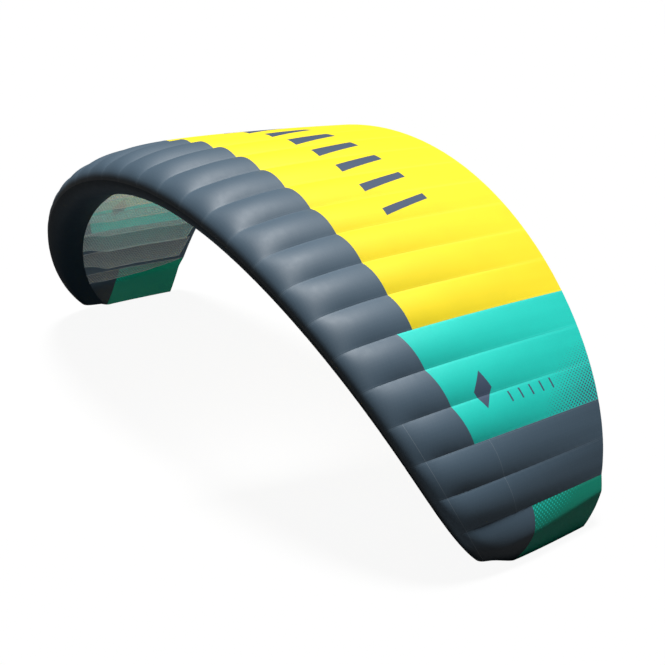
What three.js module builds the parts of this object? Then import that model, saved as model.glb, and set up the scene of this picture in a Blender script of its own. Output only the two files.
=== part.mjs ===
// Foil kite with a single skin, as it flies: an arch of sewn cells that is open underneath.
// Millimetres, +Z up. +X runs along the span, the nose faces -Y, and the trailing edge faces +Y.
// The wing stands on the plain edges of its two tips, at z = 0.
import * as THREE from "three";

// Plan of the wing laid flat. T is the place across the span: 1 at the +X tip, 0 in the middle,
// -1 at the -X tip.
const HALF_SPAN = 2774;
const ROOT_CHORD = 1710;
// How far each edge has moved inwards at the tip, in parts that grow with T to the power named
const NOSE_SWEEP = [
  { power: 2, inwards: 270 },
  { power: 4, inwards: 205 },
  { power: 16, inwards: 132 },
];
const TAIL_SWEEP = [
  { power: 2, inwards: 422 },
  { power: 4, inwards: -51 },
  { power: 16, inwards: 83 },
];
// The nose corner of a tip is cut back along the span, from nothing at TIP_TRIM_TO chords to TIP_TRIM at
// the nose
const TIP_TRIM = 62;
const TIP_TRIM_TO = 0.15;

// The arch, seen from the front. The cloth leans over by 90 degrees from the middle to the tip,
// in parts that grow with T to the power named.
const ARCH_LEAN = [
  { power: 1, degrees: 63.5 },
  { power: 3, degrees: -13.5 },
  { power: 5, degrees: 40.0 },
];
const TWIST_MIDDLE = -7.6; // degrees, nose up
const TWIST_TO_TIP = 2.8; // degrees taken off towards the tip
const TWIST_CENTRE = 0.3; // share of the chord that the twist turns about

// Section of a cell at a rib, in shares of the local chord
const THICKNESS_MIDDLE = 0.128;
const THICKNESS_TO_TIP = -0.032;
const CREST_AT = 0.15; // the highest point of the section, behind the nose
const BACK_POWER = 1.25; // how the top falls from the crest to the trailing edge
const CREST_SOFTNESS = 0.12; // share of that fall over which it begins softly
const NOSE_HEIGHT = 0.58; // foremost point, as a share of the thickness
const LIP_AT = 0.15; // where the cloth ends under the nose

// Cells and ribs
const CELLS = 27;
const TIP_CELL = 1.49; // width of a tip cell, in inner cells
const WIDTH_LAW = 0.097; // inner cells get narrower towards the tips by this law
const BULGE = 38; // how far a middle cell bulges out between its ribs
const BULGE_FADE = 1.1; // power by which the bulge fades towards the trailing edge
const NOSE_SWELL = 44; // how far the nose is filled out, at its ribs too, so its front is smooth
const SKIN = 2;
const RIB = 1.2;
const GAP = 0.35; // between two cells at their seam
const RIB_GAP = 0.5; // between a rib and the skin above it
const RIB_DEPTH = 183; // from the top skin down to a rib's free edge
const RIB_REAR = 0.98; // where a rib ends, in chords
const TAIL_FROM = 0.88; // where the slanting tail of a rib starts
const FREE_EDGE_FROM = 0.3; // where the free edge has left the lip
const END_RIB_BOW = 0.03; // how far the free edge of an outermost rib bows down, in chords

// Steps along the chord and across a cell
const CHIN_STEPS = 4;
const BROW_STEPS = 4;
const BACK_STEPS = 8;
const CELL_STEPS = 4;
const FREE_EDGE_STEPS = 8;
const ARCH_STEPS = 400;

// Colours of the cloth, by how many cells lie between the cell and its own tip
const CLOTH = {
  green: { color: 0x108270, roughness: 0.45, upTo: 0 },
  slate: { color: 0x3c4a59, roughness: 0.45, upTo: 2 },
  turquoise: { color: 0x2dd2be, roughness: 0.45, upTo: 5 },
  yellow: { color: 0xfffa32, roughness: 0.45, upTo: CELLS },
};
const RIB_CLOTH = { color: 0xc8cfd0, roughness: 0.6 };

const radians = THREE.MathUtils.degToRad;

function polynomial(terms, key, t) {
  return terms.reduce((sum, term) => sum + term[key] * Math.abs(t) ** term.power, 0);
}

// Where the chord plane meets the arch at T, and how far it leans over there
function archAt(t) {
  const lean = (s) => radians(polynomial(ARCH_LEAN, "degrees", s));
  const step = Math.abs(t) / ARCH_STEPS;
  let x = 0;
  let z = 0;
  for (let i = 0; i < ARCH_STEPS; i++) {
    const middle = lean((i + 0.5) * step);
    x += Math.cos(middle) * step * HALF_SPAN;
    z -= Math.sin(middle) * step * HALF_SPAN;
  }
  return { x: x * Math.sign(t), z, lean: lean(t) * Math.sign(t) };
}

// Everything that the section at T needs
function stationAt(t) {
  const nose = -ROOT_CHORD / 2 + polynomial(NOSE_SWEEP, "inwards", t);
  const tail = ROOT_CHORD / 2 - polynomial(TAIL_SWEEP, "inwards", t);
  const chord = tail - nose;
  const thickness = THICKNESS_MIDDLE + THICKNESS_TO_TIP * t * t;
  const fullness = Math.sqrt((thickness * chord) / (THICKNESS_MIDDLE * ROOT_CHORD));
  const twist = radians(TWIST_MIDDLE + TWIST_TO_TIP * t * t);
  return { ...archAt(t), nose, chord, twist, thickness, fullness };
}

// How far the top has fallen from its crest, as a share of the thickness, and how steeply it falls there
function fallAt(v) {
  const soft = CREST_SOFTNESS ** BACK_POWER;
  const reach = v * v + CREST_SOFTNESS ** 2;
  const whole = (1 + CREST_SOFTNESS ** 2) ** (BACK_POWER / 2) - soft;
  return {
    share: (reach ** (BACK_POWER / 2) - soft) / whole,
    slope: (BACK_POWER * v * reach ** (BACK_POWER / 2 - 1)) / whole,
  };
}

// A point of the section, in millimetres along the chord and out from it, turned by the twist
function twisted(station, along, out) {
  const reach = along - TWIST_CENTRE * station.chord;
  const c = Math.cos(station.twist);
  const s = Math.sin(station.twist);
  return new THREE.Vector2(
    station.nose + TWIST_CENTRE * station.chord + reach * c + out * s,
    -reach * s + out * c,
  );
}

function placed(station, flat, aside = 0) {
  return new THREE.Vector3(
    station.x + flat.y * Math.sin(station.lean) + aside * Math.cos(station.lean),
    flat.x,
    station.z + flat.y * Math.cos(station.lean) - aside * Math.sin(station.lean),
  );
}

// The outer curve of a section from the lip round the nose to the trailing edge. Each point has its place
// in chords, its outward direction, and the shares that it takes of the nose's swell and the cell's bulge.
function sectionCurve(station) {
  const th = station.thickness;
  const curve = [];
  for (let i = 0; i < CHIN_STEPS; i++) {
    const a = (1 - i / CHIN_STEPS) * (Math.PI / 2);
    curve.push({
      along: LIP_AT * (1 - Math.cos(a)),
      out: th * NOSE_HEIGHT * (1 - Math.sin(a)),
      normal: new THREE.Vector2(-NOSE_HEIGHT * th * Math.cos(a), -LIP_AT * Math.sin(a)),
      swell: Math.cos(a),
      bulge: 0,
    });
  }
  for (let i = 0; i < BROW_STEPS; i++) {
    const a = (i / BROW_STEPS) * (Math.PI / 2);
    const along = CREST_AT * (1 - Math.cos(a));
    curve.push({
      along,
      out: th * (NOSE_HEIGHT + (1 - NOSE_HEIGHT) * Math.sin(a)),
      normal: new THREE.Vector2(-(1 - NOSE_HEIGHT) * th * Math.cos(a), CREST_AT * Math.sin(a)),
      swell: Math.cos(a) ** 2,
      bulge: Math.sin(a) ** 2 * (1 - along) ** BULGE_FADE,
    });
  }
  for (let i = 0; i <= BACK_STEPS; i++) {
    const v = i / BACK_STEPS;
    const along = CREST_AT + (1 - CREST_AT) * v;
    const fall = fallAt(v);
    curve.push({
      along,
      out: th * (1 - fall.share),
      normal: new THREE.Vector2((fall.slope * th) / (1 - CREST_AT), 1),
      swell: 0,
      bulge: (1 - along) ** BULGE_FADE,
    });
  }
  for (const point of curve) point.normal.normalize();
  return curve;
}

// T of each seam, from the +X tip to the -X tip
function seamPlaces() {
  const middle = CELLS / 2;
  const total = middle - 1 + TIP_CELL;
  return Array.from({ length: CELLS + 1 }, (_, i) => {
    const fromTip = Math.min(i, CELLS - i);
    const v = fromTip < 1 ? 1 : (middle - fromTip) / total;
    return Math.sign(middle - i) * (v * (1 + WIDTH_LAW) - WIDTH_LAW * v ** 3);
  });
}

// How far the cell between two seams bulges: less where the section is thin, more where the cell is wide
function cellBulge(from, to) {
  const width = Math.abs(from - to) * (CELLS / 2) * (1 - WIDTH_LAW);
  return BULGE * stationAt((from + to) / 2).fullness * width;
}

// A place between the outermost rib and the tip moves inwards near the nose, because the corner is cut back
function trimmed(t, along, outermost) {
  const share = (Math.abs(t) - outermost) / (1 - outermost);
  const cut = (TIP_TRIM / HALF_SPAN) * (1 - THREE.MathUtils.smoothstep(along, 0, TIP_TRIM_TO));
  return Math.sign(t) * (Math.abs(t) - Math.max(0, share) * cut);
}

// A sheet of even thickness, closed all round, from rows of outer and inner points
function sheetGeometry(outer, inner) {
  const rows = outer.length;
  const columns = outer[0].length;
  const last = columns - 1;
  const points = [...outer.flat(), ...inner.flat()];
  const at = (side, row, column) => side * rows * columns + row * columns + column;
  const index = [];
  const quad = (a, b, c, d) => index.push(a, b, c, a, c, d);
  for (let r = 0; r < rows - 1; r++) {
    for (let c = 0; c < last; c++) {
      quad(at(0, r, c), at(0, r, c + 1), at(0, r + 1, c + 1), at(0, r + 1, c));
      quad(at(1, r, c), at(1, r + 1, c), at(1, r + 1, c + 1), at(1, r, c + 1));
    }
    quad(at(0, r, 0), at(0, r + 1, 0), at(1, r + 1, 0), at(1, r, 0));
    quad(at(0, r, last), at(1, r, last), at(1, r + 1, last), at(0, r + 1, last));
  }
  for (let c = 0; c < last; c++) {
    quad(at(0, 0, c), at(1, 0, c), at(1, 0, c + 1), at(0, 0, c + 1));
    quad(at(0, rows - 1, c), at(0, rows - 1, c + 1), at(1, rows - 1, c + 1), at(1, rows - 1, c));
  }
  const geometry = new THREE.BufferGeometry().setFromPoints(points);
  geometry.setIndex(index);
  geometry.computeVertexNormals();
  return geometry;
}

// One cell's cloth: rows run across the cell from the seam nearer the +X tip, and columns from lip to
// trailing edge
function cellGeometry(from, to, outermost) {
  const bulge = cellBulge(from, to);
  const outer = [];
  const inner = [];
  for (let j = 0; j <= CELL_STEPS; j++) {
    const s = j / CELL_STEPS;
    const t = from + (to - from) * s;
    const atSeam = (s === 0 && from < 1) || (s === 1 && to > -1);
    const aside = atSeam ? (s === 0 ? -GAP / 2 : GAP / 2) : 0;
    const layer = (depth) =>
      sectionCurve(stationAt(t)).map(({ along }, i) => {
        const station = stationAt(trimmed(t, along, outermost));
        const p = sectionCurve(station)[i];
        const lift = NOSE_SWELL * station.fullness * p.swell + bulge * p.bulge * 4 * s * (1 - s) - depth;
        const reach = p.along * station.chord + p.normal.x * lift;
        const out = p.out * station.chord + p.normal.y * lift;
        return placed(station, twisted(station, reach, out), aside);
      });
    outer.push(layer(0));
    inner.push(layer(SKIN));
  }
  return sheetGeometry(outer, inner);
}

// The lower edge of a rib from the lip to its rear end, in chords
function freeEdge(station, isEndRib) {
  const fallen = (along) => fallAt(Math.max(0, (along - CREST_AT) / (1 - CREST_AT))).share;
  const below = (along) => station.thickness * (1 - fallen(along)) - RIB_DEPTH / station.chord;
  const edge = [];
  for (let i = 1; i <= FREE_EDGE_STEPS; i++) {
    const v = i / FREE_EDGE_STEPS;
    if (isEndRib) {
      const along = LIP_AT + (RIB_REAR - LIP_AT) * v;
      const share = (along - LIP_AT) / (1 - LIP_AT);
      edge.push({ along, out: -END_RIB_BOW * 4 * share * (1 - share) });
    } else {
      const along = LIP_AT + (TAIL_FROM - LIP_AT) * v;
      const blend = THREE.MathUtils.smoothstep(along, LIP_AT, FREE_EDGE_FROM);
      edge.push({ along, out: below(along) * blend });
    }
  }
  if (!isEndRib) {
    const rise = (1 - RIB_REAR) / (1 - TAIL_FROM);
    edge.push({ along: RIB_REAR, out: below(TAIL_FROM) * rise });
  }
  return edge;
}

// A rib is cut flat: its upper edge follows the inside of the skin, its lower edge hangs free
function ribOutline(station, isEndRib) {
  const upper = sectionCurve(station)
    .filter((p) => p.along < RIB_REAR)
    .map((p) => {
      const lift = NOSE_SWELL * station.fullness * p.swell - SKIN - RIB_GAP;
      const along = p.along * station.chord + p.normal.x * lift;
      return twisted(station, along, p.out * station.chord + p.normal.y * lift);
    });
  const fallen = fallAt((RIB_REAR - CREST_AT) / (1 - CREST_AT)).share;
  const rearOut = station.thickness * (1 - fallen) * station.chord - SKIN - RIB_GAP;
  const rear = twisted(station, RIB_REAR * station.chord, rearOut);
  const lower = freeEdge(station, isEndRib).map((p) =>
    twisted(station, p.along * station.chord, p.out * station.chord),
  );
  return [...upper, rear, ...lower.reverse()];
}

function ribMesh(t, isEndRib) {
  const station = stationAt(t);
  const shape = new THREE.Shape(ribOutline(station, isEndRib));
  const geometry = new THREE.ExtrudeGeometry(shape, { depth: RIB, bevelEnabled: false });
  geometry.translate(0, 0, -RIB / 2);
  const material = new THREE.MeshStandardMaterial({ ...RIB_CLOTH, side: THREE.DoubleSide });
  const mesh = new THREE.Mesh(geometry, material);
  // The rib's own X lies along the chord, its Y points out of the arch, and its Z along the span
  const basis = new THREE.Matrix4().makeBasis(
    new THREE.Vector3(0, 1, 0),
    new THREE.Vector3(Math.sin(station.lean), 0, Math.cos(station.lean)),
    new THREE.Vector3(Math.cos(station.lean), 0, -Math.sin(station.lean)),
  );
  mesh.quaternion.setFromRotationMatrix(basis);
  mesh.position.set(station.x, 0, station.z);
  return mesh;
}

function clothOf(cell) {
  const fromTip = Math.min(cell, CELLS - 1 - cell);
  const { color, roughness } = Object.values(CLOTH).find((cloth) => fromTip <= cloth.upTo);
  return new THREE.MeshStandardMaterial({ color, roughness, side: THREE.DoubleSide });
}

function twoDigits(number) {
  return String(number).padStart(2, "0");
}

const wing = new THREE.Group();
const seams = seamPlaces();

for (let cell = 0; cell < CELLS; cell++) {
  const geometry = cellGeometry(seams[cell], seams[cell + 1], seams[1]);
  const mesh = new THREE.Mesh(geometry, clothOf(cell));
  mesh.name = `cell_${twoDigits(cell + 1)}`;
  wing.add(mesh);
}

for (let seam = 1; seam < CELLS; seam++) {
  const mesh = ribMesh(seams[seam], seam === 1 || seam === CELLS - 1);
  mesh.name = `rib_${twoDigits(seam)}`;
  wing.add(mesh);
}

// The wing stands on its tips, with the origin under the middle of its outer box
wing.updateMatrixWorld(true);
const box = new THREE.Box3().setFromObject(wing, true);
const middle = box.getCenter(new THREE.Vector3());
wing.position.set(-middle.x, -middle.y, -box.min.z);

export default wing;
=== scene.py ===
import math

import bpy
import numpy as np
from mathutils import Euler, Matrix, Vector


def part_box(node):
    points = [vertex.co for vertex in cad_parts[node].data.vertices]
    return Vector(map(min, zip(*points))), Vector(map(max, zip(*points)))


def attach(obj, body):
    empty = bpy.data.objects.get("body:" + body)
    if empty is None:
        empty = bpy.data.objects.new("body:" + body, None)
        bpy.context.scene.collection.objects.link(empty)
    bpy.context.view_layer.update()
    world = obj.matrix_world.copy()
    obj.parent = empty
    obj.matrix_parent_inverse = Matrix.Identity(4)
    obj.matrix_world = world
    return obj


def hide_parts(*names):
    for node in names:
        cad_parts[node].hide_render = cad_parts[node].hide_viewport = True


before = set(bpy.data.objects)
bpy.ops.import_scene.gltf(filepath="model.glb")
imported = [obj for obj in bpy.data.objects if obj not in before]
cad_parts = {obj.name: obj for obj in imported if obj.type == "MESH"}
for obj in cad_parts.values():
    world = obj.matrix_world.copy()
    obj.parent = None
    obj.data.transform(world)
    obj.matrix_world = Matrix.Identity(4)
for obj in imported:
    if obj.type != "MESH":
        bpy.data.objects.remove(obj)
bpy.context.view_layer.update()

bl_info = {
    "name": "Foil kite",
    "version": (1, 0, 0),
    "blender": (4, 5, 0),
    "location": "View3D > Sidebar > Foil kite",
    "description": "Sews a single-skin foil kite from cell skins and ribs, over a pale studio floor",
    "category": "Object",
}

# The wing laid flat, in metres. T is the place across the span: 1 at the +X tip, 0 in the middle, -1 at -X.
HALF_SPAN = 2.774
ROOT_CHORD = 1.710
# How far each edge has moved inwards at the tip, in parts that grow with T to the power named
NOSE_SWEEP = {2: 0.270, 4: 0.205, 16: 0.132}
TAIL_SWEEP = {2: 0.422, 4: -0.051, 16: 0.083}
# The nose corner of a tip is cut back along the span, from nothing at TIP_TRIM_TO chords to TIP_TRIM
TIP_TRIM = 0.062
TIP_TRIM_TO = 0.21
# Under the nose the trim fades this much slower
CHIN_TRIM = 0.5
# The lean of the cloth in degrees, in parts that grow with T to the power named
ARCH_LEAN = {1: 63.5, 3: -13.5, 5: 40.0}
ARCH_STEPS = 4000
TWIST_MIDDLE = -7.6
TWIST_TO_TIP = 2.8
TWIST_CENTRE = 0.3

# Section of a cell at a rib, in shares of the local chord
THICKNESS_MIDDLE = 0.128
THICKNESS_TO_TIP = -0.032
CREST_AT = 0.15
BACK_POWER = 1.25
CREST_SOFTNESS = 0.12
NOSE_HEIGHT = 0.58
LIP_AT = 0.15

# Cells and ribs
CELLS = 27
TIP_CELL = 1.49
WIDTH_LAW = 0.097
BULGE = 0.038
BULGE_FADE = 1.1
NOSE_SWELL = 0.044
RIB_DEPTH = 0.183
RIB_REAR = 0.98
RIB_END = 0.003
TAIL_FROM = 0.80
# The free edge starts at the lip, in steps that grow by this power, so that it stays behind the chin
FREE_EDGE_POWER = 1.6
FREE_EDGE_FROM = 0.3
END_RIB_BOW = 0.03

# Which cloth a cell's top panel is cut from, by how many cells lie between the cell and its own tip
TOP_CLOTH = ((0, "green"), (2, "slate"), (5, "turquoise"), (CELLS, "yellow"))

# Where the top panel is sewn to the nose panel, in chords from the nose, and how much further at a tip
JOIN_YELLOW = (0.2764, 0.0116)
JOIN_TURQUOISE = (0.1520, 0.1930)
JOIN_SLATE = (0.3270, 0.0220)
# The green panel of a tip cell starts this far ahead of the trailing edge, a little further at its edges
JOIN_GREEN = 0.505
JOIN_GREEN_BOW = 0.025
# A second seam crosses the nose panels of the outer cells, this far from the lip in chords
BROW_SEAM = 0.295
BROW_SEAM_CELLS = 4

# A soft ridge runs along a tip cell. Its place is a share of the cell's width from the tip edge.
TIP_RIDGE = 0.019
TIP_RIDGE_AT_TAIL = 0.70
TIP_RIDGE_AHEAD = 0.53
TIP_RIDGE_LENGTH = 0.49
TIP_RIDGE_FARTHEST = 1.6
# Metres ahead of the trailing edge between which the ridge dies out and is at its full height
TIP_RIDGE_FADE = (0.95, 0.45)
# The nose panel of a tip cell turns under towards the tip edge, and is given painted shade there. How dark
# the painted shade gets, and between which shares of the cell's width
TIP_SHADE = 0.9
TIP_SHADE_AT = (0.75, 0.35)

# A folded hem lies along the lip and the trailing edge. It is full up to HEM_WIDTH and gone at HEM_FADE.
HEM_WIDTH = 0.010
HEM_FADE = 0.014
# Puckers are the sum of two waves along a seam. The second has these shares of the first one's measures.
PUCKER_SECOND_HEIGHT = 0.6
PUCKER_SECOND_PITCH = 0.63
# They rise over the first of these lengths from the seam, and calm down to a share over the second one
# towards the trailing edge
PUCKER_RISE = 0.006
PUCKER_CALM = 0.5
PUCKER_LEAST = 0.4
# Soft folds run along the chord, this far apart, and drift aside by this many radians for each metre
FOLD_PITCH = 0.083
FOLD_DRIFT = 1.9
# They rise over this length from a seam, and between these two distances from the trailing edge
FOLD_RISE = 0.05
FOLD_FADE = (0.9, 0.1)
# How many radians the waves of one cell's folds are ahead of those of the cell before
FOLD_PHASE = 2.4
# The lapped edge of a top panel rises between these two places past the join, and falls over this length
LAP_RISE = (-0.002, 0.001)
LAP_FALL = 0.004
# A rib's free edge waves with these two lengths, the second at half the height. The waves start between
# these distances from the nose and from the trailing edge.
RIB_WAVE_LENGTHS = (0.31, 0.17)
RIB_WAVE_SECOND = 0.5
RIB_WAVE_PHASE = 1.9
RIB_WAVE_FROM_NOSE = (0.02, 0.30)
RIB_WAVE_FROM_TAIL = (0.03, 0.30)
# Edges between faces that meet at less than this many degrees are shaded smooth
SMOOTH_ANGLE = 50

# Printed bars in slate, one slanting along each of the middle cells, widest in the middle of the wing
BAR_CELLS = 4
BAR_WIDEST = 0.090
BAR_NARROWING = 0.010
BAR_MIDDLE = 0.66
BAR_LENGTH = 0.34
BAR_SLANT = 0.22
# A printed rhombus and five strokes behind it, on the turquoise panels, by metres of span and of cloth
RHOMBUS_AT = (1.955, 0.785)
RHOMBUS_SIZE = (0.088, 0.060)
STROKES_AT = (2.022, 0.32)
STROKE_PITCH = 0.075
STROKE_COUNT = 5
STROKE_LENGTH = 0.052
STROKE_WIDTH = 0.011
STROKE_SLANT = 0.30
# Printed dots fade away from one corner of a panel: the corner, and how far they reach from it
DOT_PITCH = (0.021, 0.0125)
TURQUOISE_DOTS_AT = (2.165, 0.0)
TURQUOISE_DOTS_REACH = (0.315, 0.42)
GREEN_DOTS_AT = (2.520, 0.575)
GREEN_DOTS_REACH = (0.150, 0.42)
DOTS_POWER = 1.5
DOT_GROWTH = 1.0

# Share of the distance between a ripstop cloth's reinforcing threads that a thread takes, as drawn
THREAD_SHARE = 0.06
# How much of a lighter shade a thread, the edge of a seam, a seam between panels and a stitch take
THREAD_LIGHT = 0.012
EDGE_LIGHT = 0.03
LINE_LIGHT = 0.12
STITCH_LIGHT = 0.05
# Share of its repeat that a stitch covers, and share of the light that doubled cloth still lets through
STITCH_SHARE = 0.7
DOUBLED_THROUGH = 0.88
# Clouds in the dye and crinkles in the coating, by how many fit in a metre, and heights of the bumps
DYE_CLOUDS = 3.1
RIB_CLOUDS = 4.0
CRINKLES = 24.0
CRINKLE_HEIGHT = 0.0008
WEAVE_HEIGHT = 0.0001
ROUGHNESS_VARIES = 0.05
# How much more of a rib its doubled cloth covers, and the share of that on a reinforcing thread
DOUBLED_COVER = 1.6
THREAD_COVER = 0.25

# Steps of the fine mesh along the chord and across a cell
CHIN_STEPS = 16
BROW_STEPS = 18
CROWN_STEPS = 10
BACK_STEPS = 60
CELL_STEPS = 24


def linear(colour):
    """An sRGB hex colour such as "#FFFA32" as a linear RGBA tuple."""
    channels = [int(colour[i:i + 2], 16) / 255 for i in (1, 3, 5)]
    bent = [c / 12.92 if c <= 0.04045 else ((c + 0.055) / 1.055) ** 2.4 for c in channels]
    return (*bent, 1.0)


LIGHT_THREAD = linear("#D8DEE2")


def smooth(value, low, high):
    share = np.clip((value - low) / (high - low), 0, 1)
    return share * share * (3 - 2 * share)


def powers(parts, t):
    return sum(size * np.abs(t) ** power for power, size in parts.items())


class Arch:
    """The curve of the arch that the chords stand on, from the middle of the wing to a tip."""

    def __init__(self):
        edges = np.linspace(0, 1, ARCH_STEPS + 1)
        middles = (edges[1:] + edges[:-1]) / 2
        lean = np.radians(powers(ARCH_LEAN, middles))
        step = HALF_SPAN / ARCH_STEPS
        self.t = edges
        self.x = np.concatenate([[0], np.cumsum(np.cos(lean) * step)])
        self.z = np.concatenate([[0], -np.cumsum(np.sin(lean) * step)])

    def at(self, t):
        x = np.interp(np.abs(t), self.t, self.x) * np.sign(t)
        z = np.interp(np.abs(t), self.t, self.z)
        return x, z, np.radians(powers(ARCH_LEAN, t)) * np.sign(t)


ARCH = Arch()


class Station:
    """What the section at T needs. T may be an array, and every value then has its shape."""

    def __init__(self, t):
        self.t = t
        self.x, self.z, self.lean = ARCH.at(t)
        self.nose = -ROOT_CHORD / 2 + powers(NOSE_SWEEP, t)
        self.chord = ROOT_CHORD / 2 - powers(TAIL_SWEEP, t) - self.nose
        self.twist = np.radians(TWIST_MIDDLE + TWIST_TO_TIP * t * t)
        self.thickness = THICKNESS_MIDDLE + THICKNESS_TO_TIP * t * t
        self.fullness = np.sqrt(self.thickness * self.chord / (THICKNESS_MIDDLE * ROOT_CHORD))

    def twisted(self, along, out):
        reach = along - TWIST_CENTRE * self.chord
        c, s = np.cos(self.twist), np.sin(self.twist)
        ahead = self.nose + TWIST_CENTRE * self.chord + reach * c + out * s
        return ahead, -reach * s + out * c

    def placed(self, along, out, aside=0.0):
        """Points in the row frame from metres along the chord, out of it, and aside from the section."""
        y, up = self.twisted(along, out)
        x = self.x + up * np.sin(self.lean) + aside * np.cos(self.lean)
        z = self.z + up * np.cos(self.lean) - aside * np.sin(self.lean)
        return np.stack(np.broadcast_arrays(x, y + TAIL_SHIFT, z + TIP_HEIGHT), axis=-1)


# The wing stands on its tips, and its trailing edge is where the CAD's middle cell has it
TIP_HEIGHT = -float(ARCH.at(1.0)[1])
TAIL_SHIFT = 0.0
TAIL_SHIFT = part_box("cell_14")[1].y - float(Station(0.0).placed(ROOT_CHORD, 0.0)[1])


def seam_places():
    """T of each seam, from the +X tip to the -X tip."""
    middle = CELLS / 2
    total = middle - 1 + TIP_CELL
    places = []
    for i in range(CELLS + 1):
        from_tip = min(i, CELLS - i)
        v = 1 if from_tip < 1 else (middle - from_tip) / total
        places.append(math.copysign(v * (1 + WIDTH_LAW) - WIDTH_LAW * v ** 3, middle - i))
    return places


def trimmed(t, along, outermost):
    """T of a place between the outermost seam and the tip, moved inwards near the nose."""
    share = np.maximum(0, (np.abs(t) - outermost) / (1 - outermost))
    cut = TIP_TRIM / HALF_SPAN * (1 - smooth(along, 0, TIP_TRIM_TO))
    return np.sign(t) * (np.abs(t) - share * cut)


def fall_at(v):
    """How far the top has fallen from its crest, as a share of the thickness, and how steeply."""
    soft = CREST_SOFTNESS ** BACK_POWER
    reach = v * v + CREST_SOFTNESS ** 2
    whole = (1 + CREST_SOFTNESS ** 2) ** (BACK_POWER / 2) - soft
    fall = (reach ** (BACK_POWER / 2) - soft) / whole
    return fall, BACK_POWER * v * reach ** (BACK_POWER / 2 - 1) / whole


# The section turns under the nose from the lip to its foremost point, and over it up to the crest
CHIN_TURN = np.linspace(np.pi / 2, 0, CHIN_STEPS + 1)[:-1]
BROW_TURN = np.linspace(0, np.pi / 2, BROW_STEPS + 1)[:-1]
NOSE_ALONG = np.concatenate([LIP_AT * (1 - np.cos(CHIN_TURN)), CREST_AT * (1 - np.cos(BROW_TURN))])
CREST_COLUMN = CHIN_STEPS + BROW_STEPS
JOIN_COLUMN = CREST_COLUMN + CROWN_STEPS
# How much each column has turned under the nose, which sets how much painted shade it gets: all of it as far
# as the foremost point, then less and less
UNDER_NOSE_SHADE = np.zeros(JOIN_COLUMN + BACK_STEPS + 1)
UNDER_NOSE_SHADE[:CHIN_STEPS] = 1
UNDER_NOSE_SHADE[CHIN_STEPS:CREST_COLUMN] = smooth(BROW_TURN, math.radians(16), 0)


def outer_curve(along, thickness):
    """The section's outer curve for rows of places along the chord. Gives the height out of the chord, the
    outward direction, and the shares that each place takes of the nose's swell and of the cell's bulge."""
    chin, brow, rear = np.split(np.broadcast_to(thickness, along.shape), [CHIN_STEPS, CREST_COLUMN], axis=1)
    fall, slope = fall_at((along[:, CREST_COLUMN:] - CREST_AT) / (1 - CREST_AT))
    above = 1 - NOSE_HEIGHT
    out = [
        chin * NOSE_HEIGHT * (1 - np.sin(CHIN_TURN)),
        brow * (NOSE_HEIGHT + above * np.sin(BROW_TURN)),
        rear * (1 - fall),
    ]
    ahead = [
        -NOSE_HEIGHT * chin * np.cos(CHIN_TURN),
        -above * brow * np.cos(BROW_TURN),
        slope * rear / (1 - CREST_AT),
    ]
    up = [
        -LIP_AT * np.sin(CHIN_TURN) * np.ones_like(chin),
        CREST_AT * np.sin(BROW_TURN) * np.ones_like(brow),
        np.ones_like(rear),
    ]
    nose = np.concatenate([np.cos(CHIN_TURN), np.cos(BROW_TURN) ** 2])
    swell = np.zeros_like(along)
    swell[:, :CREST_COLUMN] = nose
    bulge = (1 - along) ** BULGE_FADE
    bulge[:, :CHIN_STEPS] = 0
    bulge[:, CHIN_STEPS:CREST_COLUMN] *= np.sin(BROW_TURN) ** 2
    out, ahead, up = (np.concatenate(part, axis=1) for part in (out, ahead, up))
    size = np.hypot(ahead, up)
    return out, ahead / size, up / size, swell, bulge


def sheet_mesh(name, outer, inner, uv_maps, attributes, slots):
    """A closed sheet from two grids of points. A map or attribute has one value for each grid point."""
    rows, columns = outer.shape[:2]
    index = np.arange(rows * columns).reshape(rows, columns)
    below = index + rows * columns

    def quads(a, b, c, d):
        return np.stack([a, b, c, d], axis=-1).reshape(-1, 4)

    top = quads(index[:-1, :-1], index[:-1, 1:], index[1:, 1:], index[1:, :-1])
    bottom = quads(below[:-1, :-1], below[1:, :-1], below[1:, 1:], below[:-1, 1:])
    start = quads(index[:-1, 0], index[1:, 0], below[1:, 0], below[:-1, 0])
    end = quads(index[:-1, -1], below[:-1, -1], below[1:, -1], index[1:, -1])
    first = quads(index[0, :-1], below[0, :-1], below[0, 1:], index[0, 1:])
    last = quads(index[-1, :-1], index[-1, 1:], below[-1, 1:], below[-1, :-1])
    faces = np.concatenate([top, bottom, start, end, first, last])

    points = np.concatenate([outer.reshape(-1, 3), inner.reshape(-1, 3)])
    mesh = bpy.data.meshes.new(name)
    mesh.from_pydata(points.tolist(), [], faces.tolist())
    corners = faces.ravel() % (rows * columns)
    for map_name, values in uv_maps.items():
        layer = mesh.uv_layers.new(name=map_name)
        layer.data.foreach_set("uv", values.reshape(-1, 2)[corners].astype(np.float32).ravel())
    for attribute_name, values in attributes.items():
        attribute = mesh.attributes.new(attribute_name, "FLOAT", "POINT")
        doubled = np.concatenate([values.ravel(), values.ravel()])
        attribute.data.foreach_set("value", doubled.astype(np.float32))
    if slots is not None:
        column = faces.min(axis=1) % columns
        mesh.polygons.foreach_set("material_index", slots[column].astype(np.int32))
    mesh.update()
    piece = bpy.data.objects.new(name, mesh)
    bpy.context.scene.collection.objects.link(piece)
    return piece


def steps_between(points, axis):
    """Lengths from each grid point to the next one along an axis, summed from the start."""
    lengths = np.linalg.norm(np.diff(points, axis=axis), axis=-1)
    zero = np.zeros_like(np.take(lengths, [0], axis=axis))
    return np.cumsum(np.concatenate([zero, lengths], axis=axis), axis=axis)


def sheet_area(points):
    across = points[1:, :-1] - points[:-1, :-1]
    along = points[:-1, 1:] - points[:-1, :-1]
    return float(np.linalg.norm(np.cross(across, along), axis=-1).sum())


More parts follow.
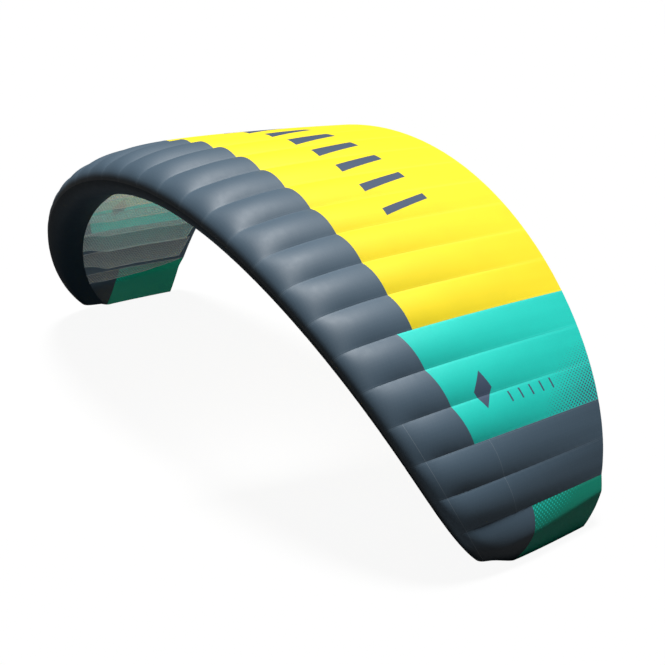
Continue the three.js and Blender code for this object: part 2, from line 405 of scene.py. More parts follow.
def finish_sheet(piece, materials, node):
    for material in materials:
        piece.data.materials.append(material)
    bpy.ops.object.select_all(action="DESELECT")
    piece.select_set(True)
    bpy.context.view_layer.objects.active = piece
    bpy.ops.object.shade_smooth_by_angle(angle=math.radians(SMOOTH_ANGLE))
    piece.select_set(False)
    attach(piece, "root")
    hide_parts(node)


def cloth_of(cell):
    from_tip = min(cell, CELLS - 1 - cell)
    return next(cloth for last, cloth in TOP_CLOTH if from_tip <= last)


def join_of(cell, station):
    """Where the nose panel ends, in chords, for each row across a cell."""
    joins = {"yellow": JOIN_YELLOW, "turquoise": JOIN_TURQUOISE, "slate": JOIN_SLATE}
    cloth = cloth_of(cell)
    if cloth in joins:
        middle, to_tip = joins[cloth]
        return middle + to_tip * station.t ** 2
    share = np.linspace(-1, 1, len(station.chord))[:, None]
    return 1 - (JOIN_GREEN + JOIN_GREEN_BOW * share ** 2) / station.chord


def cell_skin(cell, seams, sizes):
    """The cloth of one cell, from seam to seam and from the lip to the trailing edge."""
    start, stop = seams[cell], seams[cell + 1]
    s = np.linspace(0, 1, CELL_STEPS + 1)[:, None]
    flat_t = start + (stop - start) * s
    join = join_of(cell, Station(flat_t))
    crown = CREST_AT + np.linspace(0, 1, CROWN_STEPS + 1)[:-1] * (join - CREST_AT)
    back = join + np.linspace(0, 1, BACK_STEPS + 1) * (1 - join)
    nose = np.broadcast_to(NOSE_ALONG, (len(s), len(NOSE_ALONG)))
    along = np.concatenate([nose, crown, back], axis=1)
    place = along.copy()
    place[:, :CHIN_STEPS] *= CHIN_TRIM
    station = Station(trimmed(flat_t, place, seams[1]))
    out, ahead, up, swell, bulge = outer_curve(along, station.thickness)

    width = abs(start - stop) * (CELLS / 2) * (1 - WIDTH_LAW)
    height = BULGE * Station((start + stop) / 2).fullness * width
    filled = NOSE_SWELL * station.fullness * swell + height * bulge * 4 * s * (1 - s)

    gap = sizes.seam_gap / 2
    aside = np.zeros_like(s)
    aside[0] = -gap if start < 1 else 0
    aside[-1] = gap if stop > -1 else 0

    def layer(lift):
        return station.placed(along * station.chord + ahead * lift, out * station.chord + up * lift, aside)

    smooth_layer = layer(filled)
    to_lip = steps_between(smooth_layer, 1)
    to_tail = to_lip[:, [-1]] - to_lip
    past_join = to_lip - to_lip[:, [JOIN_COLUMN]]
    across = steps_between(smooth_layer, 0)
    to_seam = np.minimum(across, across[[-1]] - across)

    lift = filled + folds(cell, s, flat_t, to_seam, to_lip, to_tail, past_join, sizes)
    hems = smooth(to_tail, HEM_FADE, HEM_WIDTH) + smooth(to_lip, HEM_FADE, HEM_WIDTH)
    thickness = sizes.skin + sizes.hem * hems
    outer = layer(lift)
    inner = layer(lift - thickness)

    cut = np.stack([np.broadcast_to(flat_t * HALF_SPAN, to_tail.shape), to_tail], axis=-1)
    # Slot 0 runs from the lip to the foremost point of the nose, and takes the chin's near-black painted
    # shade
    slots = np.zeros(outer.shape[1])
    slots[CHIN_STEPS:] = 1
    slots[JOIN_COLUMN:] = 2
    # Painted shade: the share of the chin's near-black mixed into the cloth under the nose and, on a tip
    # cell, towards its tip edge
    under = np.broadcast_to(UNDER_NOSE_SHADE, to_lip.shape)
    if cell in (0, CELLS - 1):
        from_edge = s if cell == 0 else 1 - s
        under = np.maximum(under, TIP_SHADE * smooth(from_edge, *TIP_SHADE_AT))
    attributes = {
        "to_seam": to_seam,
        "to_lip": to_lip,
        "to_line": to_line(cell, station.chord, to_lip, past_join, sizes),
        "under": under,
        **prints_on(cell, seams, cut),
    }
    piece = sheet_mesh(f"skin_{cell + 1:02d}", outer, inner, {"cloth": cut}, attributes, slots)
    flat = (float(across[-1].max()), float(to_lip.max()))
    return piece, flat, sheet_area(smooth_layer)


def to_line(cell, chord, to_lip, past_join, sizes):
    """Metres to the nearest seam between two panels of the same slate cloth, or -1 where there is none. It
    keeps its sign between two such seams."""
    from_tip = min(cell, CELLS - 1 - cell)
    distance = np.full_like(to_lip, -1.0)
    if from_tip < BROW_SEAM_CELLS:
        distance = BROW_SEAM * chord - to_lip
    if cloth_of(cell) == "slate":
        to_middle = past_join - sizes.panel_lap / 2
        distance = np.where(np.abs(distance) < np.abs(to_middle), distance, to_middle)
    return distance


def prints_on(cell, seams, cut):
    """What the printed patterns of a cell need: metres aside from the middle line of its slanting bar, half
    the bar's width, and how dense the dots are."""
    middle = (seams[cell] + seams[cell + 1]) / 2 * HALF_SPAN
    aside = cut[..., 0] - middle - BAR_SLANT * (cut[..., 1] - BAR_MIDDLE)
    from_middle = abs(cell - CELLS // 2)
    half = max(0.0, BAR_WIDEST - BAR_NARROWING * from_middle) / 2 if from_middle <= BAR_CELLS else 0.0
    corner, reach = (GREEN_DOTS_AT, GREEN_DOTS_REACH) if cloth_of(cell) == "green" else (
        TURQUOISE_DOTS_AT, TURQUOISE_DOTS_REACH)
    away = [np.abs(np.abs(cut[..., i]) - corner[i]) / reach[i] for i in (0, 1)]
    dots = 1 - away[0] ** DOTS_POWER - away[1] ** DOTS_POWER
    return {"bar_aside": aside, "bar_half": np.full_like(aside, half), "dots": dots}


def folds(cell, s, t, to_seam, to_lip, to_tail, past_join, sizes):
    """Height of the fine folds: puckers along the seams, soft tension folds, the lapped join of the two
    panels and the ridge of a tip cell."""
    phase = cell * FOLD_PHASE
    second_pitch = sizes.pucker_pitch * PUCKER_SECOND_PITCH
    pucker = np.sin(to_lip * 2 * np.pi / sizes.pucker_pitch + phase)
    pucker += PUCKER_SECOND_HEIGHT * np.sin(to_lip * 2 * np.pi / second_pitch + phase * 1.7)
    pucker *= np.exp(-to_seam / sizes.pucker_reach) * smooth(to_seam, 0, PUCKER_RISE)
    pucker *= smooth(to_tail, 0, PUCKER_CALM) * (1 - PUCKER_LEAST) + PUCKER_LEAST
    soft = np.sin(t * HALF_SPAN * 2 * np.pi / FOLD_PITCH + to_tail * FOLD_DRIFT + phase)
    soft *= smooth(to_seam, 0, FOLD_RISE) * smooth(to_tail, *FOLD_FADE)
    lap = smooth(past_join, *LAP_RISE) * smooth(past_join, sizes.panel_lap + LAP_FALL, sizes.panel_lap)
    height = sizes.pucker_height * pucker + sizes.fold_height * soft + sizes.lap * lap
    if cell in (0, CELLS - 1):
        from_edge = s if cell == 0 else 1 - s
        share = np.clip(to_tail / TIP_RIDGE_LENGTH, 0, TIP_RIDGE_FARTHEST)
        at = TIP_RIDGE_AT_TAIL + (TIP_RIDGE_AHEAD - TIP_RIDGE_AT_TAIL) * share
        tent = np.minimum(from_edge / at, (1 - from_edge) / (1 - at))
        height = height + TIP_RIDGE * tent * smooth(to_tail, *TIP_RIDGE_FADE)
    return height


def rib_sheet(seam, t, sizes):
    """A rib is cut flat. Its upper edge follows the inside of the skin, and its lower edge hangs free."""
    station = Station(np.array([[t]]))
    end_rib = seam in (1, CELLS - 1)
    places = np.concatenate([NOSE_ALONG, np.linspace(CREST_AT, RIB_REAR, BACK_STEPS)])[None]
    out, ahead, up, swell, _ = outer_curve(places, station.thickness)
    lift = NOSE_SWELL * station.fullness * swell - sizes.skin - sizes.rib_gap
    upper = np.stack([places * station.chord + ahead * lift, out * station.chord + up * lift], axis=-1)
    lower = free_edge(station, end_rib, upper[0] / station.chord[0, 0])

    share = np.linspace(0, 1, sizes.rib_rows + 1)[:, None]
    grid = upper * (1 - share[..., None]) + lower[None] * share[..., None]
    along, out = grid[..., 0], grid[..., 1]
    long, short = RIB_WAVE_LENGTHS
    wave = np.sin(along / long * 2 * np.pi + seam * RIB_WAVE_PHASE)
    wave = wave + RIB_WAVE_SECOND * np.sin(along / short * 2 * np.pi + seam)
    ends = smooth(along, *RIB_WAVE_FROM_NOSE) * smooth(station.chord - along, *RIB_WAVE_FROM_TAIL)
    aside = sizes.rib_wave * wave * share * ends
    half = sizes.rib / 2
    one = station.placed(along, out, aside + half)
    other = station.placed(along, out, aside - half)
    flat_grid = station.placed(along, out)
    to_top = steps_between(flat_grid, 0)
    to_edge = to_top[[-1]] - to_top
    uv = np.stack([along, to_top], axis=-1)
    piece = sheet_mesh(
        f"rib_cloth_{seam:02d}",
        one[::-1],
        other[::-1],
        {"cloth": uv[::-1]},
        {"to_edge": to_edge[::-1], "to_top": to_top[::-1]},
        None,
    )
    flat = (float(np.ptp(out)), float(np.ptp(along)))
    return piece, flat, sheet_area(flat_grid)


def free_edge(station, end_rib, upper):
    """The lower edge of a rib, with as many points as its upper edge has, from the lip to the rear end, where
    the two edges nearly meet. The upper edge is given in chords."""
    chord = float(station.chord[0, 0])
    along = LIP_AT + (RIB_REAR - LIP_AT) * np.linspace(0, 1, len(upper)) ** FREE_EDGE_POWER
    if end_rib:
        place = (along - LIP_AT) / (1 - LIP_AT)
        out = -END_RIB_BOW * 4 * place * (1 - place)
        return np.stack([along, out], axis=-1) * chord

    def below(place):
        fall, _ = fall_at(np.maximum(0, place - CREST_AT) / (1 - CREST_AT))
        return float(station.thickness[0, 0]) * (1 - fall) - RIB_DEPTH / chord

    end = upper[-1, 1] - RIB_END / chord
    tail = end + (below(TAIL_FROM) - end) * (RIB_REAR - along) / (RIB_REAR - TAIL_FROM)
    out = np.where(along < TAIL_FROM, below(along) * smooth(along, LIP_AT, FREE_EDGE_FROM), tail)
    return np.stack([along, out], axis=-1) * chord


def add(tree, kind, inputs=None, **settings):
    """Adds a node. inputs gives a socket's value, or the output socket that is linked to it."""
    node = tree.nodes.new(kind)
    for name, value in settings.items():
        setattr(node, name, value)
    for name, value in (inputs or {}).items():
        if isinstance(value, bpy.types.NodeSocket):
            tree.links.new(value, node.inputs[name])
        else:
            node.inputs[name].default_value = value
    return node


def new_material(name):
    material = bpy.data.materials.new(name)
    material.use_nodes = True
    material.node_tree.nodes.clear()
    return material, material.node_tree


def printed_bars(tree, tint, cloth, ink):
    """Slanting bars along the middle cells."""
    aside = add(tree, "ShaderNodeAttribute", attribute_name="bar_aside").outputs["Fac"]
    half = add(tree, "ShaderNodeAttribute", attribute_name="bar_half").outputs["Fac"]
    behind = add(tree, "ShaderNodeSeparateXYZ", {0: cloth}).outputs["Y"]
    across = add(tree, "ShaderNodeMath", {0: aside, 1: 0.0, 2: half}, operation="COMPARE")
    along = add(tree, "ShaderNodeMath", {0: behind, 1: BAR_MIDDLE, 2: BAR_LENGTH / 2}, operation="COMPARE")
    bar = add(tree, "ShaderNodeMath", {0: across.outputs[0], 1: along.outputs[0]}, operation="MULTIPLY")
    printed = add(tree, "ShaderNodeMix", {"Factor": bar.outputs[0], "A": tint, "B": ink}, data_type="RGBA")
    return printed.outputs["Result"]


def printed_strokes(tree, tint, cloth, ink):
    """A rhombus and a row of strokes behind it, the same on both sides of the wing."""
    side = add(tree, "ShaderNodeVectorMath", {0: cloth}, operation="ABSOLUTE").outputs[0]
    offset = add(tree, "ShaderNodeVectorMath", {0: side, 1: (*RHOMBUS_AT, 0)}, operation="SUBTRACT")
    folded = add(tree, "ShaderNodeVectorMath", {0: offset.outputs[0]}, operation="ABSOLUTE")
    wide, long = RHOMBUS_SIZE
    spread = {0: folded.outputs[0], 1: (1 / wide, 1 / long, 0)}
    edge = add(tree, "ShaderNodeVectorMath", spread, operation="DOT_PRODUCT").outputs["Value"]
    rhombus = add(tree, "ShaderNodeMath", {0: edge, 1: 1.0}, operation="LESS_THAN")

    offset = add(tree, "ShaderNodeVectorMath", {0: side, 1: (*STROKES_AT, 0)}, operation="SUBTRACT")
    slant = {0: offset.outputs[0], 1: (STROKE_SLANT, 1, 0)}
    place = add(tree, "ShaderNodeVectorMath", slant, operation="DOT_PRODUCT").outputs["Value"]
    aside = add(tree, "ShaderNodeSeparateXYZ", {0: offset.outputs[0]}).outputs["X"]
    near = add(tree, "ShaderNodeMath", {0: place, 1: STROKE_PITCH / 2}, operation="PINGPONG")
    stroke = add(tree, "ShaderNodeMath", {0: near.outputs[0], 1: STROKE_WIDTH / 2}, operation="LESS_THAN")
    row = {0: place, 1: STROKE_PITCH * (STROKE_COUNT - 1) / 2, 2: STROKE_PITCH * STROKE_COUNT / 2}
    in_row = add(tree, "ShaderNodeMath", row, operation="COMPARE")
    height = add(tree, "ShaderNodeMath", {0: aside, 1: 0.0, 2: STROKE_LENGTH / 2}, operation="COMPARE")
    inside = add(tree, "ShaderNodeMath", {0: in_row.outputs[0], 1: height.outputs[0]}, operation="MULTIPLY")
    drawn = {0: stroke.outputs[0], 1: inside.outputs[0]}
    strokes = add(tree, "ShaderNodeMath", drawn, operation="MULTIPLY").outputs[0]
    marks = add(tree, "ShaderNodeMath", {0: rhombus.outputs[0], 1: strokes}, operation="MAXIMUM").outputs[0]
    printed = add(tree, "ShaderNodeMix", {"Factor": marks, "A": tint, "B": ink}, data_type="RGBA")
    return printed.outputs["Result"]


def printed_dots(tree, tint, cloth, ink):
    """Staggered dots that grow towards one corner of the panel."""
    dense = add(tree, "ShaderNodeAttribute", attribute_name="dots").outputs["Fac"]
    across, along = DOT_PITCH
    turns = {0: cloth, 1: (2 * math.pi / across, math.pi / along, 0)}
    turned = add(tree, "ShaderNodeVectorMath", turns, operation="MULTIPLY")
    waves = add(tree, "ShaderNodeVectorMath", {0: turned.outputs[0]}, operation="COSINE")
    apart = add(tree, "ShaderNodeSeparateXYZ", {0: waves.outputs[0]}).outputs
    lattice = add(tree, "ShaderNodeMath", {0: apart["X"], 1: apart["Y"]}, operation="MULTIPLY")
    limit = add(tree, "ShaderNodeMath", {0: dense, 1: -DOT_GROWTH, 2: 1.0}, operation="MULTIPLY_ADD")
    inked = {0: lattice.outputs[0], 1: limit.outputs[0]}
    dot = add(tree, "ShaderNodeMath", inked, operation="GREATER_THAN").outputs[0]
    printed = add(tree, "ShaderNodeMix", {"Factor": dot, "A": tint, "B": ink}, data_type="RGBA")
    return printed.outputs["Result"]


def ripstop_grid(tree, cloth, pitch):
    """1 on a reinforcing thread of the cloth, and 0 between. Threads lie twice the pitch apart, because the
    folded distance runs up and down again. Real ones lie 5 mm apart."""
    scaled = add(tree, "ShaderNodeVectorMath", {0: cloth, "Scale": 1 / pitch}, operation="SCALE")
    apart = add(tree, "ShaderNodeSeparateXYZ", {0: scaled.outputs[0]}).outputs
    threads = []
    for axis in ("X", "Y"):
        near = add(tree, "ShaderNodeMath", {0: apart[axis], 1: 1.0}, operation="PINGPONG").outputs[0]
        thread = add(tree, "ShaderNodeMath", {0: near, 1: THREAD_SHARE}, operation="LESS_THAN")
        threads.append(thread.outputs[0])
    return add(tree, "ShaderNodeMath", {0: threads[0], 1: threads[1]}, operation="MAXIMUM").outputs[0]


def sewn(tree, tint, grid, sizes):
    """Reinforcing threads, the edge of the seam, the seams between panels and the stitches, each a shade
    lighter than the cloth."""
    to_seam = add(tree, "ShaderNodeAttribute", attribute_name="to_seam").outputs["Fac"]
    to_lip = add(tree, "ShaderNodeAttribute", attribute_name="to_lip").outputs["Fac"]
    to_line = add(tree, "ShaderNodeAttribute", attribute_name="to_line").outputs["Fac"]
    edge = add(tree, "ShaderNodeMath", {0: to_seam, 1: sizes.seam_edge}, operation="LESS_THAN")
    line = add(tree, "ShaderNodeMath", {0: to_line, 1: 0.0, 2: sizes.seam_edge / 2}, operation="COMPARE")
    in_row = {0: to_seam, 1: sizes.stitch_row, 2: sizes.stitch_width}
    row = add(tree, "ShaderNodeMath", in_row, operation="COMPARE")
    repeat = add(tree, "ShaderNodeMath", {0: to_lip, 1: sizes.stitch_length}, operation="PINGPONG")
    thread = {0: repeat.outputs[0], 1: sizes.stitch_length * STITCH_SHARE}
    dash = add(tree, "ShaderNodeMath", thread, operation="LESS_THAN")
    stitch = add(tree, "ShaderNodeMath", {0: row.outputs[0], 1: dash.outputs[0]}, operation="MULTIPLY")
    marks = (
        (grid, THREAD_LIGHT),
        (edge.outputs[0], EDGE_LIGHT),
        (line.outputs[0], LINE_LIGHT),
        (stitch.outputs[0], STITCH_LIGHT),
    )
    for mask, strength in marks:
        share = add(tree, "ShaderNodeMath", {0: mask, 1: strength}, operation="MULTIPLY").outputs[0]
        shades = {"Factor": share, "A": tint, "B": LIGHT_THREAD}
        tint = add(tree, "ShaderNodeMix", shades, data_type="RGBA").outputs["Result"]
    return tint


def coated_ripstop(name, colour, sizes, through, prints=(), ink=None, under=None, gloss=0.5):
    """Coated ripstop nylon: a thin woven nylon, calendered and coated, so it has a satin sheen, hardly shows
    its weave from afar, and lets some light through. Doubled cloth beside a seam lets through less. Cloth
    that lets none through is in shade all over, and its sewing is left out."""
    material, tree = new_material(name)
    cloth = add(tree, "ShaderNodeUVMap", uv_map="cloth").outputs["UV"]
    to_seam = add(tree, "ShaderNodeAttribute", attribute_name="to_seam").outputs["Fac"]

    # Dye and coating vary a little from place to place
    cloud = add(tree, "ShaderNodeTexNoise", {"Vector": cloth, "Scale": DYE_CLOUDS, "Detail": 3.0})
    value = add(tree, "ShaderNodeMapRange", {"Value": cloud.outputs["Fac"], "To Min": 0.95, "To Max": 1.04})
    tint = add(tree, "ShaderNodeHueSaturation", {"Color": colour, "Value": value.outputs[0]}).outputs[0]
    if under is not None:
        # Painted shade: the colour is mixed towards the chin's near-black where the cloth turns under the
        # nose
        turned = add(tree, "ShaderNodeAttribute", attribute_name="under").outputs["Fac"]
        dark = add(tree, "ShaderNodeMix", {"Factor": turned, "A": tint, "B": under}, data_type="RGBA")
        tint = dark.outputs["Result"]
    for pattern in prints:
        tint = pattern(tree, tint, cloth, ink)

    grid = ripstop_grid(tree, cloth, sizes.ripstop_pitch)
    if through:
        tint = sewn(tree, tint, grid, sizes)

    weave = add(tree, "ShaderNodeBump", {"Height": grid, "Distance": WEAVE_HEIGHT, "Strength": 0.3})
    fine = add(tree, "ShaderNodeTexNoise", {"Vector": cloth, "Scale": CRINKLES, "Detail": 4.0}).outputs["Fac"]
    crinkle = {"Height": fine, "Distance": CRINKLE_HEIGHT, "Strength": 0.25, "Normal": weave.outputs[0]}
    normal = add(tree, "ShaderNodeBump", crinkle).outputs[0]
    smoothest, roughest = sizes.skin_roughness - ROUGHNESS_VARIES, sizes.skin_roughness + ROUGHNESS_VARIES
    rough = add(tree, "ShaderNodeMapRange", {"Value": fine, "To Min": smoothest, "To Max": roughest})
    skin = add(
        tree,
        "ShaderNodeBsdfPrincipled",
        {
            "Base Color": tint,
            "Roughness": rough.outputs[0],
            "IOR": 1.5,
            "Specular IOR Level": gloss,
            "Normal": normal,
        },
    )
    glow = add(tree, "ShaderNodeBsdfTranslucent", {"Color": tint, "Normal": normal})
    lapped = add(tree, "ShaderNodeMath", {0: to_seam, 1: sizes.seam_allowance}, operation="LESS_THAN")
    amount = add(
        tree,
        "ShaderNodeMapRange",
        {"Value": lapped.outputs[0], "To Min": through, "To Max": through * DOUBLED_THROUGH},
    )
    both = add(tree, "ShaderNodeMixShader", {0: amount.outputs[0], 1: skin.outputs[0], 2: glow.outputs[0]})
    add(tree, "ShaderNodeOutputMaterial", {"Surface": both.outputs[0]})
    return material


def rib_scrim(name, colour, sizes):
    """Uncoated polyester scrim: an open, stiff weave, so light and colour show through it. Its hem and its
    top, which is sewn into the seam, are doubled and denser."""
    material, tree = new_material(name)
    cloth = add(tree, "ShaderNodeUVMap", uv_map="cloth").outputs["UV"]
    grid = ripstop_grid(tree, cloth, sizes.ripstop_pitch)
    cloud = add(tree, "ShaderNodeTexNoise", {"Vector": cloth, "Scale": RIB_CLOUDS, "Detail": 3.0})
    value = add(tree, "ShaderNodeMapRange", {"Value": cloud.outputs["Fac"], "To Min": 0.92, "To Max": 1.05})
    tint = add(tree, "ShaderNodeHueSaturation", {"Color": colour, "Value": value.outputs[0]}).outputs[0]
    to_edge = add(tree, "ShaderNodeAttribute", attribute_name="to_edge").outputs["Fac"]
    to_top = add(tree, "ShaderNodeAttribute", attribute_name="to_top").outputs["Fac"]
    hem = add(tree, "ShaderNodeMath", {0: to_edge, 1: sizes.rib_hem}, operation="LESS_THAN")
    top = add(tree, "ShaderNodeMath", {0: to_top, 1: sizes.seam_allowance}, operation="LESS_THAN")
    doubled = add(tree, "ShaderNodeMath", {0: hem.outputs[0], 1: top.outputs[0]}, operation="MAXIMUM")
    thread = add(tree, "ShaderNodeMath", {0: grid, 1: THREAD_COVER}, operation="MULTIPLY")
    dense = add(tree, "ShaderNodeMath", {0: doubled.outputs[0], 1: thread.outputs[0]}, operation="MAXIMUM")
    most = min(1.0, sizes.rib_cover * DOUBLED_COVER)
    cover = add(
        tree,
        "ShaderNodeMapRange",
        {"Value": dense.outputs[0], "To Min": sizes.rib_cover, "To Max": most},
    )
    bump = add(tree, "ShaderNodeBump", {"Height": grid, "Distance": WEAVE_HEIGHT, "Strength": 0.3})
    scrim = add(
        tree,
        "ShaderNodeBsdfPrincipled",
        {
            "Base Color": tint,
            "Roughness": 0.62,
            "IOR": 1.5,
            "Alpha": cover.outputs[0],
            "Normal": bump.outputs[0],
        },
    )
    add(tree, "ShaderNodeOutputMaterial", {"Surface": scrim.outputs[0]})
    return material


class FoilKiteSizes(bpy.types.PropertyGroup):
    """Sizes of the cloth and its sewing."""

    skin: bpy.props.FloatProperty(
        name="Skin", description="Thickness of a cell's cloth as drawn", default=0.0010, unit="LENGTH")
    hem: bpy.props.FloatProperty(
        name="Hem", description="Added thickness of a folded hem", default=0.0009, unit="LENGTH")
    lap: bpy.props.FloatProperty(
        name="Lap", description="Step where the top panel laps over the nose panel",
        default=0.0008, unit="LENGTH")
    seam_gap: bpy.props.FloatProperty(
        name="Seam gap", description="Space between two cells at their seam", default=0.0001, unit="LENGTH")
    rib: bpy.props.FloatProperty(
        name="Rib", description="Thickness of a rib's cloth as drawn", default=0.0008, unit="LENGTH")
    rib_gap: bpy.props.FloatProperty(
        name="Rib gap", description="Space between a rib and the skin", default=0.0003, unit="LENGTH")
    rib_wave: bpy.props.FloatProperty(
        name="Rib wave", description="How far a rib's free edge waves aside", default=0.0015, unit="LENGTH")
    rib_rows: bpy.props.IntProperty(
        name="Rib rows", description="Rows of faces across a rib", default=8, min=1)
    pucker_height: bpy.props.FloatProperty(
        name="Pucker height", description="Height of the puckers along a seam",
        default=0.0006, unit="LENGTH")
    pucker_pitch: bpy.props.FloatProperty(
        name="Pucker pitch", description="Distance between puckers", default=0.062, unit="LENGTH")
    pucker_reach: bpy.props.FloatProperty(
        name="Pucker reach", description="How far puckers reach from a seam", default=0.018, unit="LENGTH")
    fold_height: bpy.props.FloatProperty(
        name="Fold height", description="Height of the soft folds along the chord",
        default=0.0002, unit="LENGTH")
    ripstop_pitch: bpy.props.FloatProperty(
        name="Ripstop pitch",
        description="Half the distance between threads. Real ones lie 5 mm apart, too fine to show",
        default=0.010,
        unit="LENGTH",
    )
    stitch_row: bpy.props.FloatProperty(
        name="Stitch row", description="From a seam to its row of stitches", default=0.008, unit="LENGTH")
    stitch_width: bpy.props.FloatProperty(
        name="Stitch width", description="Half the width of a row of stitches",
        default=0.0008, unit="LENGTH")
    stitch_length: bpy.props.FloatProperty(
        name="Stitch length",
        description="Half the repeat of a row of stitches. Real ones are 3 mm long, too fine to show",
        default=0.004,
        unit="LENGTH",
    )
    seam_edge: bpy.props.FloatProperty(
        name="Seam edge", description="Width of the light edge along a seam", default=0.0022, unit="LENGTH")
    seam_allowance: bpy.props.FloatProperty(
        name="Seam allowance", description="Width of doubled cloth beside a seam",
        default=0.012, unit="LENGTH")
    panel_lap: bpy.props.FloatProperty(
        name="Panel lap", description="How far the top panel laps over the nose panel",
        default=0.010, unit="LENGTH")
    rib_hem: bpy.props.FloatProperty(
        name="Rib hem", description="Width of the hem along a rib's free edge",
        default=0.010, unit="LENGTH")
    skin_roughness: bpy.props.FloatProperty(
        name="Skin roughness", description="Roughness of the coated cloth", default=0.57, min=0, max=1)
    light_through: bpy.props.FloatProperty(
        name="Light through", description="Share of light that a bright cloth lets through",
        default=0.45, min=0, max=1)
    slate_through: bpy.props.FloatProperty(
        name="Light through slate", description="Share of light that the slate cloth lets through",
        default=0.15, min=0, max=1)
    rib_cover: bpy.props.FloatProperty(
        name="Rib cover", description="Share of a rib that its threads cover", default=0.34, min=0, max=1)


def colour_property(name, description, value):
    return bpy.props.FloatVectorProperty(
        name=name, description=description, subtype="COLOR", size=4, min=0, max=1, default=linear(value))


class FoilKiteColours(bpy.types.PropertyGroup):
    """Colours of the cloth, and the near-black of the painted shade under the nose."""

    yellow: colour_property("Yellow", "Top panels of the middle cells", "#FAE92A")
    turquoise: colour_property("Turquoise", "Top panels of three cells on each side", "#26DDD0")
    slate: colour_property("Slate", "Nose panels, and two cells near each tip", "#425564")
    # The chin colour is painted shade: the near-black of the chin panels, mixed into the nose panels where
    # they turn under
    chin: colour_property("Chin", "The cloth that is turned under the nose", "#141F27")
    green: colour_property("Green", "Rear panels of the tip cells", "#10A187")
    ink: colour_property("Ink", "The printed bars, strokes and dots", "#506179")
    rib: colour_property("Rib", "The see-through ribs", "#C9CFD2")


class FOILKITE_OT_skins(bpy.types.Operator):
    """Sew the skins of all the cells."""

    bl_idname = "foilkite.skins"
    bl_label = "Cell skins"

    def execute(self, context):
        sizes = context.scene.foil_kite_sizes
        colours = context.scene.foil_kite_colours
        bright, dull = sizes.light_through, sizes.slate_through
        # The chin panels under the nose are painted near-black as shade, and let no light through
        chin = coated_ripstop("chin cloth with painted shade", colours.chin, sizes, 0.0, gloss=0.1)
        nose = coated_ripstop("coated ripstop nylon slate", colours.slate, sizes, dull, under=colours.chin)
        tops = {
            "yellow": coated_ripstop(
                "coated ripstop nylon yellow", colours.yellow, sizes, bright, (printed_bars,), colours.ink),
            "turquoise": coated_ripstop(
                "coated ripstop nylon turquoise", colours.turquoise, sizes, bright,
                (printed_strokes, printed_dots), colours.ink),
            "green": coated_ripstop(
                "coated ripstop nylon green", colours.green, sizes, bright,
                (printed_dots,), colours.turquoise),
            "slate": nose,
        }
        seams = seam_places()
        for cell in range(CELLS):
            cloth = cloth_of(cell)
            piece, flat, area = cell_skin(cell, seams, sizes)
            node, panels = f"cell_{cell + 1:02d}", (chin, nose, tops[cloth])
            finish_sheet(piece, panels, node)
        return {"FINISHED"}


class FOILKITE_OT_ribs(bpy.types.Operator):
    """Sew a rib under each seam between two cells."""

    bl_idname = "foilkite.ribs"
    bl_label = "Ribs"

    def execute(self, context):
        sizes = context.scene.foil_kite_sizes
        scrim = rib_scrim("uncoated polyester scrim", context.scene.foil_kite_colours.rib, sizes)
        seams = seam_places()
        for seam in range(1, CELLS):
            piece, flat, area = rib_sheet(seam, seams[seam], sizes)
            finish_sheet(piece, (scrim,), f"rib_{seam:02d}")
        return {"FINISHED"}


# The camera in metres and degrees. Its place is given from the middle of the arch's top, at half the chord.
CAMERA_FROM_WING = (5.74523, -3.99411, 1.88587)
CAMERA_TURN = 52.625
CAMERA_TILT = -22.710
CAMERA_ROLL = 0.869
CAMERA_LENS = 66.63
CAMERA_SHIFT = (-0.00584, 0.01372)

FLOOR_RADIUS = 60.0
# The floor as the camera sees it, and the colour of the light that it throws back
FLOOR_COLOUR = linear("#353535")
FLOOR_BOUNCE = linear("#5E5E5E")
FLOOR_GLOW = 0.93
# A broad light from nearly straight above, and a weak even light from all around
SKY_LIGHT = 0.08
KEY_FROM = (-0.08, 0.10, 0.99)
KEY_SPREAD = 14.0
KEY_STRENGTH = 6.3
# A soft fill under the wing, aimed at the inside of the far half
FILL_AT = (0.9, -0.6, 0.75)
FILL_TO = (-2.0, 0.1, 0.8)
FILL_SIZE = 0.8
FILL_POWER = 26.0


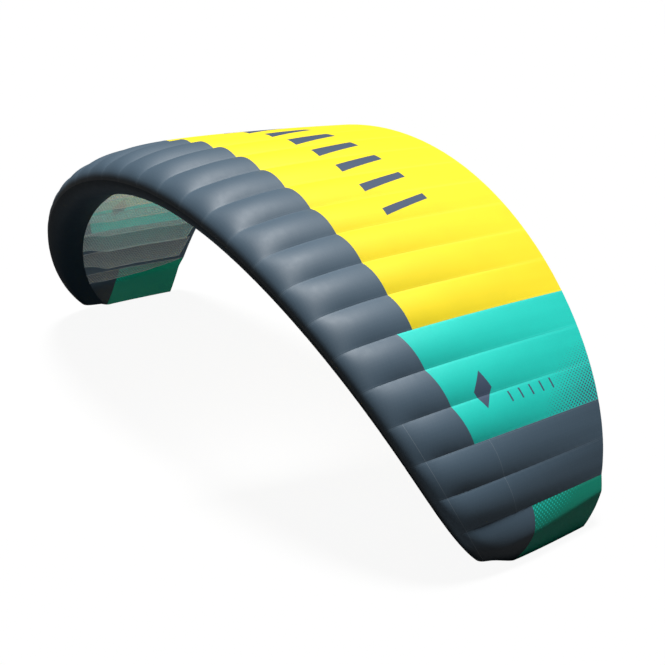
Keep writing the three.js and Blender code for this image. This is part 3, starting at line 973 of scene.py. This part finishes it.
class FOILKITE_OT_stage(bpy.types.Operator):
    """Lay the pale floor, and set the lights and the camera."""

    bl_idname = "foilkite.stage"
    bl_label = "Stage"

    def execute(self, context):
        self.lay_floor()
        self.set_lights(context.scene)
        self.set_camera(context.scene)
        return {"FINISHED"}

    def lay_floor(self):
        bpy.ops.object.select_all(action="DESELECT")
        bpy.ops.mesh.primitive_circle_add(vertices=96, radius=FLOOR_RADIUS, fill_type="NGON")
        floor = bpy.context.object
        floor.name = "floor"
        # Backlit white acrylic: it glows evenly, so it stays nearly white under the kite and has no gloss.
        # Only the camera sees the glow, so the cloth's underside stays dark.
        material, tree = new_material("backlit white acrylic")
        noise = add(tree, "ShaderNodeTexNoise", {"Scale": 0.4})
        cloud = {"Value": noise.outputs["Fac"], "To Min": 0.97, "To Max": 1.0}
        tone = add(tree, "ShaderNodeMapRange", cloud)
        seen = add(tree, "ShaderNodeLightPath").outputs["Is Camera Ray"]
        shade = {"Factor": seen, "A": FLOOR_BOUNCE, "B": FLOOR_COLOUR}
        colour = add(tree, "ShaderNodeMix", shade, data_type="RGBA").outputs["Result"]
        paint = add(tree, "ShaderNodeHueSaturation", {"Color": colour, "Value": tone.outputs[0]})
        strength = add(tree, "ShaderNodeMath", {0: seen, 1: FLOOR_GLOW}, operation="MULTIPLY")
        surface = add(
            tree,
            "ShaderNodeBsdfPrincipled",
            {
                "Base Color": paint.outputs[0],
                "Roughness": 0.9,
                "Specular IOR Level": 0.0,
                "Emission Color": (1, 1, 1, 1),
                "Emission Strength": strength.outputs[0],
            },
        )
        add(tree, "ShaderNodeOutputMaterial", {"Surface": surface.outputs[0]})
        floor.data.materials.append(material)

    def set_lights(self, scene):
        world = bpy.data.worlds.new("studio")
        world.use_nodes = True
        tree = world.node_tree
        tree.nodes.clear()
        seen = add(tree, "ShaderNodeLightPath").outputs["Is Camera Ray"]
        strength = add(tree, "ShaderNodeMapRange", {"Value": seen, "To Min": SKY_LIGHT, "To Max": 1.0})
        sky = add(tree, "ShaderNodeBackground", {"Color": (1, 1, 1, 1), "Strength": strength.outputs[0]})
        add(tree, "ShaderNodeOutputWorld", {"Surface": sky.outputs[0]})
        scene.world = world
        key = bpy.data.lights.new("key", "SUN")
        key.energy = KEY_STRENGTH
        key.angle = math.radians(KEY_SPREAD)
        self.hang(scene, key, (0, 0, 0), Vector(KEY_FROM))
        fill = bpy.data.lights.new("fill", "AREA")
        fill.shape = "DISK"
        fill.size = FILL_SIZE
        fill.energy = FILL_POWER
        self.hang(scene, fill, FILL_AT, Vector(FILL_AT) - Vector(FILL_TO)).visible_camera = False
        scene.view_settings.view_transform = "Standard"

    def hang(self, scene, light, place, back):
        """Hangs a light at a place, with its back turned the way that is given."""
        lamp = bpy.data.objects.new(light.name, light)
        lamp.location = place
        lamp.rotation_mode = "QUATERNION"
        lamp.rotation_quaternion = back.to_track_quat("Z", "Y")
        scene.collection.objects.link(lamp)
        return lamp

    def set_camera(self, scene):
        camera = bpy.data.cameras.new("camera")
        camera.lens = CAMERA_LENS
        camera.shift_x, camera.shift_y = CAMERA_SHIFT
        camera.clip_end = 200
        eye = bpy.data.objects.new("camera", camera)
        aim = Euler((math.radians(90 + CAMERA_TILT), 0, math.radians(CAMERA_TURN))).to_matrix()
        roll = Matrix.Rotation(math.radians(CAMERA_ROLL), 3, "Z")
        eye.rotation_euler = (aim @ roll).to_euler()
        eye.location = Vector(CAMERA_FROM_WING) + Vector((0, TAIL_SHIFT, TIP_HEIGHT))
        scene.collection.objects.link(eye)
        scene.camera = eye


class FOILKITE_PT_panel(bpy.types.Panel):
    """The steps and the settings of the foil kite."""

    bl_idname = "FOILKITE_PT_panel"
    bl_label = "Foil kite"
    bl_space_type = "VIEW_3D"
    bl_region_type = "UI"
    bl_category = "Foil kite"

    def draw(self, context):
        for operator in OPERATORS:
            self.layout.operator(operator.bl_idname)
        for group in (context.scene.foil_kite_sizes, context.scene.foil_kite_colours):
            for name in group.__annotations__:
                self.layout.prop(group, name)


OPERATORS = (FOILKITE_OT_stage, FOILKITE_OT_skins, FOILKITE_OT_ribs)
CLASSES = (FoilKiteSizes, FoilKiteColours, *OPERATORS, FOILKITE_PT_panel)


def register():
    for cls in CLASSES:
        bpy.utils.register_class(cls)
    bpy.types.Scene.foil_kite_sizes = bpy.props.PointerProperty(type=FoilKiteSizes)
    bpy.types.Scene.foil_kite_colours = bpy.props.PointerProperty(type=FoilKiteColours)


def unregister():
    del bpy.types.Scene.foil_kite_colours
    del bpy.types.Scene.foil_kite_sizes
    for cls in reversed(CLASSES):
        bpy.utils.unregister_class(cls)


def main():
    register()
    bpy.ops.foilkite.stage()
    bpy.ops.foilkite.skins()
    bpy.ops.foilkite.ribs()


if __name__ == "__main__":
    main()
